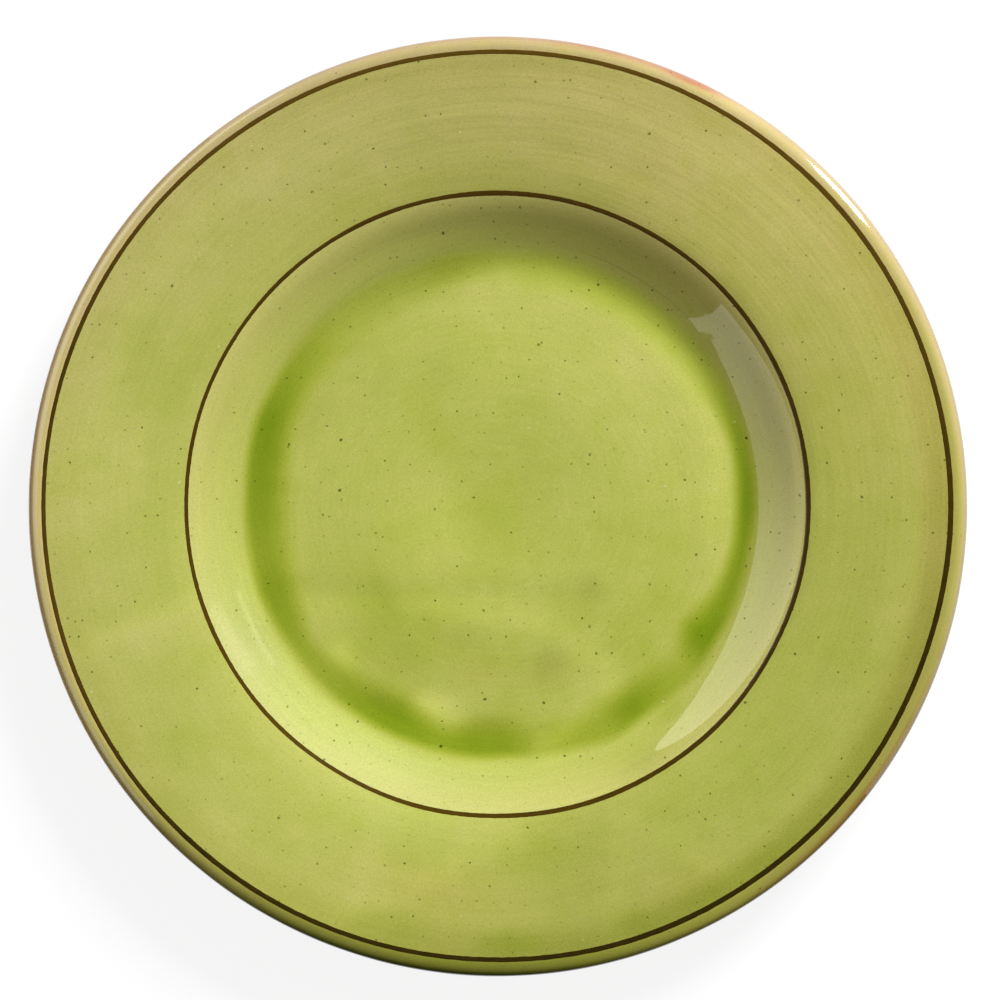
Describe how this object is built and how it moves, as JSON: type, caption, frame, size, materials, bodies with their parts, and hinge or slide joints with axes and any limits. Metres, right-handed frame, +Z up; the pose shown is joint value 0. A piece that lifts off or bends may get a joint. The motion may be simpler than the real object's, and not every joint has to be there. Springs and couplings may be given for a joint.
{
  "type": "dinner plate",
  "caption": "Round glazed earthenware dinner plate: flat well with a sloping wall, wide rim with a rounded lip, brown bands, and a turned foot ring to stand on.",
  "frame": {"origin": "centre of the foot ring's bearing face, on the plate's axis", "axes": "+Z up along the plate's axis, out of its face; X and Y level, and alike because the plate is round"},
  "size_m": [0.27, 0.27, 0.0281],
  "materials": {
    "fired_clay": "matte",
    "pale_slip": "satin",
    "green_glaze": "gloss",
    "straw_glaze": "gloss",
    "brown_band": "gloss"
  },
  "bodies": {
    "root": {"clay_body": "fired_clay", "slip_coat": "pale_slip", "well_glaze": "green_glaze", "well_line": "brown_band", "rim_glaze": "green_glaze", "rim_line": "brown_band", "lip_glaze": "straw_glaze", "back_glaze": "straw_glaze", "base_glaze": "straw_glaze"}
  },
  "joints": []
}
